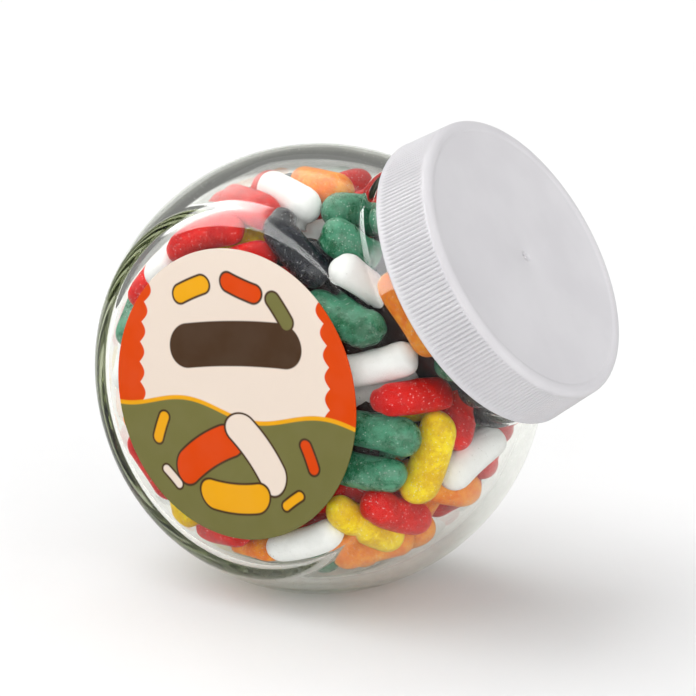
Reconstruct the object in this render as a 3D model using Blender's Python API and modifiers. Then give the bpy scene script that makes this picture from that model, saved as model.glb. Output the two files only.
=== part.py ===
"""Round glass jar of sugared jelly beans, shut with a ribbed white screw cap.

The jar is a blown ball with a flat round panel in front and behind, a small
flat foot to stand on, and a wide neck that leans up to the right. A round
paper label sits on the front panel. Metres, +Z up, front panel facing -Y.
"""

import math

import bmesh
import bpy
import numpy as np
from mathutils import Matrix, Vector

# Glass jar
BALL_R = 0.0465
WALL = 0.0033
PANEL_Y = 0.64 * BALL_R
PANEL_FLAT_R = 0.70 * BALL_R
FOOT_R = 0.0140
FOOT_EDGE_Z = 0.0005
FOOT_STEP = 0.0003
FOOT_ROOT_Z = 0.0022
FLOOR_THICKNESS = 0.0042
CENTRE_Z = math.sqrt(BALL_R**2 - FOOT_R**2)

# Neck, along the cap axis from the ball's centre
NECK_TILT_DEG = 30.0
NECK_R = 0.0274
BORE_R = 0.0246
NECK_FILLET_R = 0.0030
FILLET_CUT_SHORT_DEG = 12.0
NECK_ROOT = 0.0300
NECK_ROOT_R = 0.0264
LIP_R = 0.0009

# Screw cap, whose mouth and top lie at these distances from the ball's centre
CAP_MOUTH = 0.0441
CAP_TOP = 0.0557
CAP_TOP_R = 0.0291
CAP_MOUTH_R = 0.0302
CAP_WALL = 0.0013
CAP_TOP_THICKNESS = 0.0016
CAP_SHOULDER_R = 0.0012
CAP_BEAD_WIDTH = 0.0014
CAP_RECESS = 0.0004
GATE_R = 0.0015
GATE_FLOOR_R = 0.0010
GATE_DEPTH = 0.0004

# Paper label on the front panel
LABEL_R = 0.0288
LABEL_THICKNESS = 0.0003

GAP = 0.0003

# Facets: sides round each turned shape, and points along its arcs
BALL_SIDES = 56
CAVITY_SIDES = 44
NECK_SIDES = 48
BORE_SIDES = 40
FOOT_SIDES = 40
CAP_SIDES = 72
LABEL_SIDES = 64
CORE_SIDES = 32
PLUG_SIDES = 24
BALL_ARCS = (4, 11)
CAVITY_ARCS = (3, 9)
CORE_ARCS = (2, 9)
FILLET_POINTS = 4
LIP_POINTS = 3
SHOULDER_POINTS = 4
BEAN_SIDES = 5
BEAN_RINGS = 5

# Jelly beans: straight rods with round ends
BEAN_R = 0.0039
BEAN_R_SPREAD = 0.00025
BEAN_HALF = 0.0052
BEAN_HALF_SPREAD = 0.0007
BEAN_CLEARANCE = 0.0005
CORE_DEPTH = 0.0050
CORE_PLUG_R = 0.0216
SHOWN_DEPTH = 0.0068

# How the beans fill the jar: a layer against the glass and one that closes its gaps
FRONT_SPACING = 0.0086
FRONT_SINK = 0.0022
BACK_SPACING = 0.0098
BACK_SINK = 0.0080
FRONT_TRIES = 2600
BACK_TRIES = 1200
BEAN_LEVEL = 0.0385
SEED = 41

# How they settle against each other
SETTLE_STEPS = 260
SETTLE_SHARE = 0.42
START_SIZE = 0.6
GROWN_BY = 0.6
WALL_PULL = 0.06
SEEN_MOBILITY = 0.2
SEEN_HOLD = 0.07
LET_GO_FROM = 0.6
SETTLE_DIGITS = 7
BEAN_STATIONS = (0.25, 0.5, 0.75, 0.0, 1.0)

# The beans that show through the front right of the glass are placed where they
# are seen from this side: millimetres across and up from the middle of the ball,
# turn anticlockwise in degrees, and millimetres sunk behind the front layer.
SEEN_AZIMUTH_DEG = 34.4
SEEN_ELEVATION_DEG = 12.0
SEEN_DISTANCE = 0.398
SEEN_STEP = 0.0002
SEEN_FACING = 0.35
SEEN_BEANS = [
    ("red", 19.5, -6.2, -17, 0),
    ("green", 12.0, -13.2, 0, 0),
    ("green", 9.3, -20.7, -3, 0),
    ("yellow", 21.3, -19.1, 61, 1),
    ("white", 31.5, -18.1, 31, 0),
    ("red", 30.7, -10.6, 75, 3),
    ("red", 40.7, -13.5, -20, 1),
    ("red", 36.1, -22.4, 45, 2),
    ("red", 31.1, -30.3, 60, 3),
    ("orange", 26.7, -29.9, 54, 1),
    ("red", 15.3, -28.4, -11, 0),
    ("yellow", 10.1, -37.0, 29, 0),
    ("orange", 18.0, -36.7, 25, 3),
    ("orange", 5.5, -42.2, 10, 2),
    ("white", -1.7, -35.1, 22, 0),
    ("green", -0.5, -41.1, 10, 2),
    ("red", 4.1, -26.7, 20, 2),
    ("orange", -13.1, -36.7, 0, 1),
    ("red", -19.8, -35.0, 0, 2),
    ("yellow", -32.2, -27.1, -47, 0),
    ("red", -38.1, -18.8, -65, 0),
    ("orange", -40.6, -10.1, 80, 1),
    ("white", -42.0, 2.7, 85, 0),
    ("green", -37.9, 11.8, 78, 0),
    ("red", -36.0, 19.1, 60, 3),
    ("green", -33.7, 21.6, 60, 1),
    ("white", -30.0, 24.7, 60, 0),
    ("red", -24.8, 25.5, 15, 0),
    ("yellow", -19.6, 25.7, 0, 2),
    ("red", -15.3, 26.7, 0, 1),
    ("red", -23.8, 32.5, 0, 1),
    ("red", -15.5, 32.9, 0, 0),
    ("white", -8.4, 33.6, -80, 1),
    ("orange", -1.1, 37.1, -8, 1),
    ("white", -1.1, 32.5, 10, 3),
    ("red", 8.4, 36.9, 0, 2),
    ("black", -4.1, 23.6, -45, 0),
    ("black", 1.8, 26.1, -45, 4),
    ("green", 7.4, 31.7, 10, 2),
    ("green", 7.8, 25.0, -35, 0),
    ("green", 5.7, 12.8, -57, 0),
    ("white", 7.3, 17.3, -50, 3),
    ("orange", 16.7, 10.0, -58, 0),
    ("white", 12.1, 1.7, 10, 1),
    ("white", 9.3, -6.1, 5, 3),
    ("black", 35.3, -11.8, 30, 4),
]
BEAN_COLOURS = {
    "red": (0.60, 0.02, 0.02),
    "green": (0.03, 0.16, 0.07),
    "yellow": (0.82, 0.58, 0.02),
    "orange": (0.84, 0.30, 0.07),
    "white": (0.80, 0.79, 0.78),
    "black": (0.01, 0.012, 0.02),
}
COLOUR_SHARES = (0.27, 0.20, 0.14, 0.14, 0.17, 0.08)

CENTRE = Vector((0.0, 0.0, CENTRE_Z))
CAP_TILT = Matrix.Rotation(math.radians(90.0 - NECK_TILT_DEG), 4, "Y")
CAP_FRAME = Matrix.Translation(CENTRE) @ CAP_TILT
PANEL_FRAME = Matrix.Translation(CENTRE) @ Matrix.Rotation(math.radians(90.0), 4, "X")
CAP_AXIS = CAP_TILT @ Vector((0.0, 0.0, 1.0))
NECK_BEANS_FROM = math.sqrt((BALL_R - WALL - BEAN_R) ** 2 - (BORE_R - BEAN_R) ** 2)


def clear_scene():
    for item in list(bpy.data.objects):
        bpy.data.objects.remove(item, do_unlink=True)


def new_collection(name):
    collection = bpy.data.collections.new(name)
    bpy.context.scene.collection.children.link(collection)
    return collection


def new_material(name, colour, roughness, transmission=0.0):
    material = bpy.data.materials.new(name)
    material.use_nodes = True
    shader = material.node_tree.nodes["Principled BSDF"]
    shader.inputs["Base Color"].default_value = (*colour, 1.0)
    shader.inputs["Roughness"].default_value = roughness
    shader.inputs["Metallic"].default_value = 0.0
    shader.inputs["Transmission Weight"].default_value = transmission
    material.diffuse_color = (*colour, 1.0)
    return material


def new_object(name, mesh, collection, frame, material=None):
    item = bpy.data.objects.new(name, mesh)
    item.matrix_world = frame
    if material:
        mesh.materials.append(material)
    collection.objects.link(item)
    return item


def turned(name, profile, sides, frame, collection, material=None):
    """A solid of revolution about its own Z, from (radius, height) points that run down its outside."""
    mesh = bpy.data.meshes.new(name)
    points = [(radius, 0.0, height) for radius, height in profile]
    edges = [(i, i + 1) for i in range(len(points) - 1)]
    mesh.from_pydata(points, edges, [])
    item = new_object(name, mesh, collection, frame, material)
    screw = item.modifiers.new("turn", "SCREW")
    screw.axis = "Z"
    screw.steps = sides
    screw.render_steps = sides
    screw.use_merge_vertices = True
    screw.merge_threshold = 0.00001
    screw.use_smooth_shade = True
    return item


def arc(centre, radius, start_deg, end_deg, count):
    """Points of an arc, both ends included, as (radius, height) pairs."""
    points = []
    for i in range(count):
        angle = math.radians(start_deg + (end_deg - start_deg) * i / (count - 1))
        x = centre[0] + radius * math.cos(angle)
        z = centre[1] + radius * math.sin(angle)
        points.append((x, z))
    return points


def boolean(item, other, operation):
    modifier = item.modifiers.new(f"{operation.lower()} {other.name}", "BOOLEAN")
    modifier.operation = operation
    modifier.solver = "EXACT"
    modifier.object = other


def as_cutter(item):
    item.hide_render = True
    item.display_type = "WIRE"
    return item


def box_cutter(name, low, high, collection):
    bpy.ops.mesh.primitive_cube_add(size=1.0)
    item = bpy.context.object
    item.name = name
    middle = (Vector(low) + Vector(high)) / 2
    size = Vector(high) - Vector(low)
    item.data.transform(Matrix.Translation(middle) @ Matrix.Diagonal((*size, 1.0)))
    for owner in list(item.users_collection):
        owner.objects.unlink(item)
    collection.objects.link(item)
    return as_cutter(item)


def ball_profile(inset, arcs):
    """Outline of the ball with its two flat panels, as a turn about the panels' axis.

    The corner between ball and panel is an arc that meets both smoothly. An inset
    outline keeps the same corner centre, so a wall made of two has one thickness.
    """
    corner_points, side_points = arcs
    corner_r = (BALL_R**2 - PANEL_Y**2 - PANEL_FLAT_R**2) / (2 * (BALL_R - PANEL_Y))
    corner = (PANEL_FLAT_R, PANEL_Y - corner_r)
    meet_deg = math.degrees(math.atan2(corner[1], corner[0]))
    if inset < corner_r:
        upper = arc(corner, corner_r - inset, 90.0, meet_deg, corner_points)
    else:
        radius, height = BALL_R - inset, PANEL_Y - inset
        meet_deg = math.degrees(math.asin(height / radius))
        upper = [(math.sqrt(radius**2 - height**2), height)]
    side = arc((0.0, 0.0), BALL_R - inset, meet_deg, -meet_deg, side_points)
    lower = [(radius, -height) for radius, height in reversed(upper)]
    return [(0.0, PANEL_Y - inset), *upper, *side[1:-1], *lower, (0.0, inset - PANEL_Y)]


def neck_profile():
    """The neck outside: a rounded lip, a straight wall and a fillet that runs into the ball."""
    lip_top = CAP_TOP - CAP_TOP_THICKNESS - GAP
    out = NECK_R + NECK_FILLET_R
    up = math.sqrt((BALL_R + NECK_FILLET_R) ** 2 - out**2)
    on_ball_deg = math.degrees(math.atan2(-up, -out)) - FILLET_CUT_SHORT_DEG
    lip = arc((NECK_R - LIP_R, lip_top - LIP_R), LIP_R, 90.0, 0.0, LIP_POINTS)
    fillet = arc((out, up), NECK_FILLET_R, -180.0, on_ball_deg, FILLET_POINTS)
    return [(0.0, lip_top), *lip, *fillet, (NECK_ROOT_R, NECK_ROOT), (0.0, NECK_ROOT)]


def ball_section_r(height):
    """Radius of the ball's level section at this height above the foot."""
    return math.sqrt(BALL_R**2 - (CENTRE_Z - height) ** 2)


def foot_profile():
    """A shallow round foot that stands a little proud of the ball, cut level later."""
    root = (ball_section_r(FOOT_ROOT_Z) - FOOT_STEP, FOOT_ROOT_Z)
    edge = (ball_section_r(FOOT_EDGE_Z) + FOOT_STEP, FOOT_EDGE_Z)
    below = -FOOT_ROOT_Z
    return [(0.0, FOOT_ROOT_Z), root, edge, (FOOT_R, 0.0), (FOOT_R, below), (0.0, below)]


def make_glass(parts, cutters, material):
    glass = turned("glass_jar", ball_profile(0.0, BALL_ARCS), BALL_SIDES, PANEL_FRAME, parts, material)
    neck = as_cutter(turned("neck_blank", neck_profile(), NECK_SIDES, CAP_FRAME, cutters))
    foot = as_cutter(turned("foot_blank", foot_profile(), FOOT_SIDES, Matrix.Identity(4), cutters))
    hollow = ball_profile(WALL, CAVITY_ARCS)
    cavity = as_cutter(turned("cavity", hollow, CAVITY_SIDES, PANEL_FRAME, cutters))
    bore_outline = [(0.0, CAP_TOP), (BORE_R, CAP_TOP), (BORE_R, NECK_ROOT), (0.0, NECK_ROOT)]
    bore = as_cutter(turned("bore", bore_outline, BORE_SIDES, CAP_FRAME, cutters))
    reach = 2 * BALL_R
    low = (-reach, -reach, -reach)
    floor = box_cutter("floor_block", low, (reach, reach, FLOOR_THICKNESS), cutters)
    ground = box_cutter("ground_block", low, (reach, reach, 0.0), cutters)
    boolean(cavity, floor, "DIFFERENCE")
    boolean(glass, neck, "UNION")
    boolean(glass, foot, "UNION")
    boolean(glass, cavity, "DIFFERENCE")
    boolean(glass, bore, "DIFFERENCE")
    boolean(glass, ground, "DIFFERENCE")


def cap_profile():
    """The cap from the middle of its top, over the shoulder, down the skirt and up the inside."""
    recess = CAP_TOP - CAP_RECESS
    under = CAP_TOP - CAP_TOP_THICKNESS
    inside_top = CAP_TOP_R - CAP_WALL
    inside_mouth = CAP_MOUTH_R - CAP_WALL
    shoulder_centre = (CAP_TOP_R - CAP_SHOULDER_R, CAP_TOP - CAP_SHOULDER_R)
    bead_inner = CAP_TOP_R - CAP_SHOULDER_R - CAP_BEAD_WIDTH
    return [
        (0.0, recess - GATE_DEPTH),
        (GATE_FLOOR_R, recess - GATE_DEPTH),
        (GATE_R, recess),
        (bead_inner - CAP_RECESS, recess),
        (bead_inner, CAP_TOP),
        *arc(shoulder_centre, CAP_SHOULDER_R, 90.0, 0.0, SHOULDER_POINTS),
        (CAP_MOUTH_R, CAP_MOUTH),
        (inside_mouth, CAP_MOUTH),
        (inside_top, under),
        (0.0, under),
    ]


def make_cap(parts, material):
    turned("cap", cap_profile(), CAP_SIDES, CAP_FRAME, parts, material)


def make_label(parts, material):
    bpy.ops.mesh.primitive_cylinder_add(vertices=LABEL_SIDES, radius=LABEL_R, depth=LABEL_THICKNESS)
    label = bpy.context.object
    label.name = "label"
    for owner in list(label.users_collection):
        owner.objects.unlink(label)
    parts.objects.link(label)
    label.data.materials.append(material)
    label.rotation_euler = (math.radians(90.0), 0.0, 0.0)
    label.location = CENTRE - Vector((0.0, PANEL_Y + GAP + LABEL_THICKNESS / 2, 0.0))


def dot(a, b):
    return a[:, 0] * b[:, 0] + a[:, 1] * b[:, 1] + a[:, 2] * b[:, 2]


def closest_on_rods(a, b, c, d):
    """Where along the middle lines ab and cd, from 0 to 1, each pair of beans comes closest."""
    u, v, w = b - a, d - c, a - c
    uu, uv, vv, uw, vw = dot(u, u), dot(u, v), dot(v, v), dot(u, w), dot(v, w)
    s = np.clip((uv * vw - vv * uw) / np.maximum(uu * vv - uv * uv, 1e-14), 0.0, 1.0)
    t = np.clip((uv * s + vw) / vv, 0.0, 1.0)
    s = np.clip((uv * t - uw) / uu, 0.0, 1.0)
    return s, t


def glass_face(points):
    """Distance of each point to the inner face of the glass and the way out to it."""
    along = points[:, 0] * CAP_AXIS.x + points[:, 2] * CAP_AXIS.z
    out = points - along[:, None] * np.array(CAP_AXIS)
    out_length = np.maximum(np.sqrt(dot(out, out)), 1e-7)
    length = np.maximum(np.sqrt(dot(points, points)), 1e-7)
    to_ball = BALL_R - WALL - length
    to_panel = PANEL_Y - WALL - np.abs(points[:, 1])
    panel_way = np.zeros_like(points)
    panel_way[:, 1] = np.where(points[:, 1] < 0.0, -1.0, 1.0)
    on_panel = to_panel < to_ball
    distance = np.where(on_panel, to_panel, to_ball)
    way = np.where(on_panel[:, None], panel_way, points / length[:, None])
    in_neck = along > NECK_BEANS_FROM
    distance = np.where(in_neck, BORE_R - out_length, distance)
    way = np.where(in_neck[:, None], out / out_length[:, None], way)
    return distance, way


def keep_inside(points, radius):
    """Bean ends moved back inside the glass, its floor, the cap and the level they reach."""
    distance, way = glass_face(points)
    over = np.maximum(radius + BEAN_CLEARANCE - distance, 0.0)
    points = points - way * over[:, None]
    panel = PANEL_Y - WALL - BEAN_CLEARANCE - radius
    ball = BALL_R - WALL - BEAN_CLEARANCE - radius
    along = points[:, 0] * CAP_AXIS.x + points[:, 2] * CAP_AXIS.z
    length = np.maximum(np.sqrt(dot(points, points)), 1e-7)
    shrink = np.where(along > NECK_BEANS_FROM, 1.0, np.minimum(1.0, ball / length))
    points = points * shrink[:, None]
    points[:, 1] = np.clip(points[:, 1], -panel, panel)
    under_cap = CAP_TOP - CAP_TOP_THICKNESS - BEAN_CLEARANCE - radius
    points = points - np.maximum(along - under_cap, 0.0)[:, None] * np.array(CAP_AXIS)
    lowest = FLOOR_THICKNESS - CENTRE_Z + BEAN_CLEARANCE + radius
    points[:, 2] = np.clip(points[:, 2], lowest, BEAN_LEVEL)
    return points


def seen_place(across, up, turn_deg, sunk, radius):
    """Middle and direction of a bean that is seen at this place, lying against the glass."""
    azimuth, elevation = math.radians(SEEN_AZIMUTH_DEG), math.radians(SEEN_ELEVATION_DEG)
    flat = math.cos(elevation)
    view = Vector((math.sin(azimuth) * flat, -math.cos(azimuth) * flat, math.sin(elevation)))
    right = Vector((math.cos(azimuth), math.sin(azimuth), 0.0))
    upward = view.cross(right)
    eye = view * SEEN_DISTANCE
    ray = (right * across + upward * up - eye).normalized()
    steps = np.arange(SEEN_DISTANCE - BALL_R - CAP_TOP_R, SEEN_DISTANCE, SEEN_STEP)
    line = np.array(eye) + np.array(ray) * steps[:, None]
    distance, ways = glass_face(line)
    inside = (distance >= radius + BEAN_CLEARANCE) & (np.abs(line[:, 2]) < BEAN_LEVEL)
    first = int(np.argmax(np.where(inside, 2.0, 0.0) + np.where(inside, 0.0, distance)))
    place, normal = Vector(line[first]), Vector(ways[first])
    turn = math.radians(turn_deg)
    flat_direction = right * math.cos(turn) + upward * math.sin(turn)
    facing = max(view.dot(normal), SEEN_FACING)
    direction = (flat_direction - view * (flat_direction.dot(normal) / facing)).normalized()
    return place - normal * sunk, direction


def wall_place(random, depth):
    """A random place this deep under the glass, and a direction along the glass there."""
    spot = Vector(random.uniform(-1.0, 1.0, 3))
    spot = Vector((spot.x * BALL_R, spot.y * PANEL_Y, spot.z * BALL_R))
    lie = Vector(random.uniform(-1.0, 1.0, 3))
    for _ in range(3):
        distance, way = glass_face(np.array([spot]))
        spot = spot + Vector(way[0]) * (distance[0] - depth)
    normal = Vector(way[0])
    return spot, (lie - normal * lie.dot(normal)).normalized()


def scattered(random, placed, spacing, sink, sink_spread, tries):
    """Places in the glass's front or second layer, none closer than the spacing to another."""
    found = []
    for _ in range(tries):
        depth = BEAN_R + BEAN_CLEARANCE + sink + sink_spread * random.uniform()
        middle, lie = wall_place(random, depth)
        others = placed + [place for place, _, _ in found]
        hidden = middle.dot(CAP_AXIS) > CAP_MOUTH + BEAN_R
        if not hidden and all((middle - other).length > spacing for other in others):
            found.append((middle, lie, depth))
    return found


def starting_beans():
    """Ends of each bean's middle line, radius, half length, depth that it seeks, hold and colour."""
    random = np.random.default_rng(SEED)
    names = list(BEAN_COLOURS)
    beans = []
    for colour, across, up, turn_deg, sunk in SEEN_BEANS:
        middle, lie = seen_place(across / 1000, up / 1000, turn_deg, sunk / 1000, BEAN_R)
        beans.append((middle, lie, BEAN_R + BEAN_CLEARANCE + sunk / 1000, names.index(colour)))
    shares = np.cumsum(COLOUR_SHARES)
    placed = [bean[0] for bean in beans]
    front = scattered(random, placed, FRONT_SPACING, 0.0, FRONT_SINK, FRONT_TRIES)
    back = scattered(random, [], BACK_SPACING, BACK_SINK, FRONT_SINK, BACK_TRIES)
    for middle, lie, depth in front + back:
        colour = int(np.searchsorted(shares, random.uniform()))
        beans.append((middle, lie, depth, min(colour, len(names) - 1)))
    count = len(beans)
    radii = np.round(BEAN_R + BEAN_R_SPREAD * random.uniform(-1.0, 1.0, count), SETTLE_DIGITS)
    halves = np.round(BEAN_HALF + BEAN_HALF_SPREAD * random.uniform(-1.0, 1.0, count), SETTLE_DIGITS)
    middles = np.array([bean[0] for bean in beans])
    lies = np.array([bean[1] for bean in beans]) * halves[:, None]
    firsts = np.round(middles - lies, SETTLE_DIGITS)
    seconds = np.round(middles + lies, SETTLE_DIGITS)
    depths = np.round([bean[2] for bean in beans], SETTLE_DIGITS)
    seen = np.arange(count) < len(SEEN_BEANS)
    return firsts, seconds, radii, halves, depths, seen, [bean[3] for bean in beans]


def settled_beans():
    """The beans after they have grown to full size and pushed each other apart.

    Each step is rounded, so that the same beans come out on every machine.
    """
    firsts, seconds, radii, halves, depths, seen, colours = starting_beans()
    held_first, held_second = firsts.copy(), seconds.copy()
    one, other = np.triu_indices(len(radii), 1)
    mobility = np.where(seen, SEEN_MOBILITY, 1.0)
    share_one = mobility[one] / (mobility[one] + mobility[other])
    hold = np.where(seen, SEEN_HOLD, 0.0)[:, None]
    pull = np.where(seen, 0.0, WALL_PULL)
    for step in range(SETTLE_STEPS):
        done = step / SETTLE_STEPS
        grown = START_SIZE + (1.0 - START_SIZE) * min(1.0, done / GROWN_BY)
        hand = min(1.0, (1.0 - done) / (1.0 - LET_GO_FROM))
        size = np.where(seen, 1.0, grown)
        s, t = closest_on_rods(firsts[one], seconds[one], firsts[other], seconds[other])
        near_one = firsts[one] + (seconds[one] - firsts[one]) * s[:, None]
        near_other = firsts[other] + (seconds[other] - firsts[other]) * t[:, None]
        apart = near_one - near_other
        distance = np.maximum(np.sqrt(dot(apart, apart)), 1e-7)
        wanted = radii[one] * size[one] + radii[other] * size[other]
        push = np.maximum(wanted - distance, 0.0) * SETTLE_SHARE
        touching = push > 0.0
        move = apart * (push / distance)[:, None]
        move_one = (move * share_one[:, None])[touching]
        move_other = (move * (share_one - 1.0)[:, None])[touching]
        s, t = s[touching, None], t[touching, None]
        firsts += (held_first - firsts) * (hold * hand)
        seconds += (held_second - seconds) * (hold * hand)
        for ends in (firsts, seconds):
            to_glass, way = glass_face(ends)
            ends += way * ((to_glass - depths) * pull * hand)[:, None]
        np.add.at(firsts, one[touching], move_one * (1.0 - s))
        np.add.at(seconds, one[touching], move_one * s)
        np.add.at(firsts, other[touching], move_other * (1.0 - t))
        np.add.at(seconds, other[touching], move_other * t)
        for along in BEAN_STATIONS:
            point = firsts + (seconds - firsts) * along
            back = keep_inside(point, radii) - point
            firsts, seconds = firsts + back * (1.0 - along), seconds + back * along
        middle, lie = (firsts + seconds) / 2, seconds - firsts
        lie = lie / np.sqrt(dot(lie, lie))[:, None] * (halves * size)[:, None]
        firsts = np.round(middle - lie, SETTLE_DIGITS)
        seconds = np.round(middle + lie, SETTLE_DIGITS)
    return keep_inside(firsts, radii), keep_inside(seconds, radii), radii, colours


def bean_mesh(name, first, second, radius, material):
    """A rod with round ends from a ball whose two halves are drawn apart."""
    shape = bmesh.new()
    bmesh.ops.create_uvsphere(shape, u_segments=BEAN_SIDES, v_segments=BEAN_RINGS, radius=radius)
    half = (second - first).length / 2
    for vertex in shape.verts:
        vertex.co.z += math.copysign(half, vertex.co.z)
    turn = (second - first).to_track_quat("Z", "Y").to_matrix().to_4x4()
    shape.transform(Matrix.Translation((first + second) / 2) @ turn)
    mesh = bpy.data.meshes.new(name)
    shape.to_mesh(mesh)
    shape.free()
    mesh.materials.append(material)
    return mesh


def largest_body(mesh):
    """Leaves the outer body alone: sealed hollows are filled and loose scraps dropped."""
    shape = bmesh.new()
    shape.from_mesh(mesh)
    shape.verts.ensure_lookup_table()
    unseen = set(shape.verts)
    bodies = []
    while unseen:
        front = [unseen.pop()]
        body = set(front)
        while front:
            for edge in front.pop().link_edges:
                for vertex in edge.verts:
                    if vertex not in body:
                        body.add(vertex)
                        unseen.discard(vertex)
                        front.append(vertex)
        bodies.append(body)
    bodies.sort(key=len)
    for body in bodies[:-1]:
        bmesh.ops.delete(shape, geom=list(body), context="VERTS")
    shape.to_mesh(mesh)
    shape.free()


def make_beans(parts):
    """One heap: a smaller core with every bean that shows through the glass fused onto it."""
    materials = [new_material(f"bean_{name}", colour, 0.5) for name, colour in BEAN_COLOURS.items()]
    outline = ball_profile(WALL + CORE_DEPTH, CORE_ARCS)
    core = turned("jelly_beans", outline, CORE_SIDES, PANEL_FRAME, parts, materials[-1])
    plug_top = CAP_TOP - CAP_TOP_THICKNESS - CORE_DEPTH
    plug_outline = [(0.0, plug_top), (CORE_PLUG_R, plug_top), (CORE_PLUG_R, 0.0), (0.0, 0.0)]
    pieces = new_collection("bean_pieces")
    turned("core_plug", plug_outline, PLUG_SIDES, CAP_FRAME, pieces)
    firsts, seconds, radii, colours = settled_beans()
    depth = glass_face((firsts + seconds) / 2)[0]
    for i in np.flatnonzero(depth < SHOWN_DEPTH):
        first, second = Vector(firsts[i]), Vector(seconds[i])
        mesh = bean_mesh(f"bean_{i}", first, second, radii[i], materials[colours[i]])
        new_object(f"bean_{i}", mesh, pieces, Matrix.Translation(CENTRE))
    union = core.modifiers.new("fuse", "BOOLEAN")
    union.operation = "UNION"
    union.operand_type = "COLLECTION"
    union.collection = pieces
    union.solver = "MANIFOLD"
    union.material_mode = "TRANSFER"
    bpy.context.view_layer.update()
    graph = bpy.context.evaluated_depsgraph_get()
    fused = bpy.data.meshes.new_from_object(core.evaluated_get(graph))
    core.modifiers.clear()
    core.data = fused
    largest_body(fused)
    fused.shade_smooth()
    fused.set_sharp_from_angle(angle=math.radians(50.0))
    for piece in list(pieces.objects):
        bpy.data.objects.remove(piece, do_unlink=True)
    bpy.data.collections.remove(pieces)


def main():
    clear_scene()
    parts = new_collection("jelly_bean_jar")
    cutters = new_collection("cutters")
    make_glass(parts, cutters, new_material("clear_glass", (0.86, 0.90, 0.87), 0.05, 1.0))
    make_cap(parts, new_material("white_plastic", (0.76, 0.75, 0.76), 0.45))
    make_label(parts, new_material("label_paper", (0.80, 0.72, 0.62), 0.55))
    make_beans(parts)


main()
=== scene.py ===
# %% [markdown]
# A round glass jar of sugared jelly beans, shut with a ribbed white screw cap. The real jar is
# blown into a ball-shaped mould with two flat panels. This lesson dresses the imported model: it
# makes the glass, the cap, the label and every bean again as fine meshes in the same places, and
# gives each one its finish.
#
# The first cell loads the model and moves each part's place into its mesh. Nothing made here may
# be larger.

# %% Load the frame
import math

import bmesh
import bpy
import numpy as np
from mathutils import Matrix, Vector


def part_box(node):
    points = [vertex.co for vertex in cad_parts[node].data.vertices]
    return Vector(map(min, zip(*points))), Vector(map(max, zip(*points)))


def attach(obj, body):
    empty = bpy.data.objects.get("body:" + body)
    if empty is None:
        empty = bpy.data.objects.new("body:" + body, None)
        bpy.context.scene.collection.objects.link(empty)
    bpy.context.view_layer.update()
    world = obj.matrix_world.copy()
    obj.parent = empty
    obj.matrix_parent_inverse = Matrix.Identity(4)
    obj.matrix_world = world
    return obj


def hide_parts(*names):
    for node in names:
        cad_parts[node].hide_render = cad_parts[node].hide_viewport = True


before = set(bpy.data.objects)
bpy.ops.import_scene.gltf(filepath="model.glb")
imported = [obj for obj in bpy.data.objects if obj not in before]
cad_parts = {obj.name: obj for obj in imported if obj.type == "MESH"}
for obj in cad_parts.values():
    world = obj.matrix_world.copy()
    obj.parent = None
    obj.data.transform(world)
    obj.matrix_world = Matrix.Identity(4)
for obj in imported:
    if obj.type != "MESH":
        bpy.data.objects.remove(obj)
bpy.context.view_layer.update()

print("nodes:", sorted(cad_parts))

# %% [markdown]
# ## Sizes
# The jar has a few driving sizes: the ball, its wall, how far out the flat panels sit, the foot
# that it stands on, and the neck, which leans 30 degrees above level. They could be read off the
# loaded meshes, but a named size says what it means. Two of them are read from the frame and
# printed beside the names, so a mistake shows at once.

# %% Sizes of the jar, in metres
BALL_R = 0.0465
WALL = 0.0033
PANEL_Y = 0.64 * BALL_R
PANEL_FLAT_R = 0.70 * BALL_R
FOOT_R = 0.0140
FLOOR_THICKNESS = 0.0042
CENTRE_Z = math.sqrt(BALL_R**2 - FOOT_R**2)
NECK_TILT_DEG = 30.0
NECK_R = 0.0274
BORE_R = 0.0246
CAP_MOUTH = 0.0441
CAP_TOP = 0.0557
CAP_TOP_R = 0.0291
CAP_MOUTH_R = 0.0302
CAP_WALL = 0.0013
CAP_TOP_THICKNESS = 0.0016
LABEL_R = 0.0288
LABEL_THICKNESS = 0.0003
GAP = 0.0003

CENTRE = Vector((0.0, 0.0, CENTRE_Z))
CAP_TILT = Matrix.Rotation(math.radians(90.0 - NECK_TILT_DEG), 4, "Y")
CAP_FRAME = Matrix.Translation(CENTRE) @ CAP_TILT
PANEL_FRAME = Matrix.Translation(CENTRE) @ Matrix.Rotation(math.radians(90.0), 4, "X")
CAP_AXIS = CAP_TILT @ Vector((0.0, 0.0, 1.0))

glass_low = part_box("glass_jar")[0]
print("ball radius from the frame:", round(-glass_low[0] * 1000, 2), "and named:", BALL_R * 1000)
print("panel from the frame:", round(-glass_low[1] * 1000, 2), "and named:", round(PANEL_Y * 1000, 2))

# %% [markdown]
# ## Camera
# The photograph looks down a little on the jar from its right front, with a long lens. The
# outline of the ball, the oval of the label and the oval of the cap together fix the angle, the
# distance and the focal length. The camera could track an empty, but a matrix built from the
# view direction is exact and leaves nothing behind.

# %% Camera
PHOTO_SIDE = 696
VIEW_AZIMUTH = math.radians(34.37)
VIEW_ELEVATION = math.radians(11.98)
VIEW_DISTANCE = 0.39819
FOCAL_PIXELS = 1918.6
AIM_RIGHT = math.radians(0.84)
AIM_UP = math.radians(0.61)
SENSOR = 36.0


def direction(azimuth, elevation):
    """The way from the jar to a place at this azimuth, 0 in front, and elevation."""
    level = math.cos(elevation)
    return Vector((math.sin(azimuth) * level, -math.cos(azimuth) * level, math.sin(elevation)))


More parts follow.
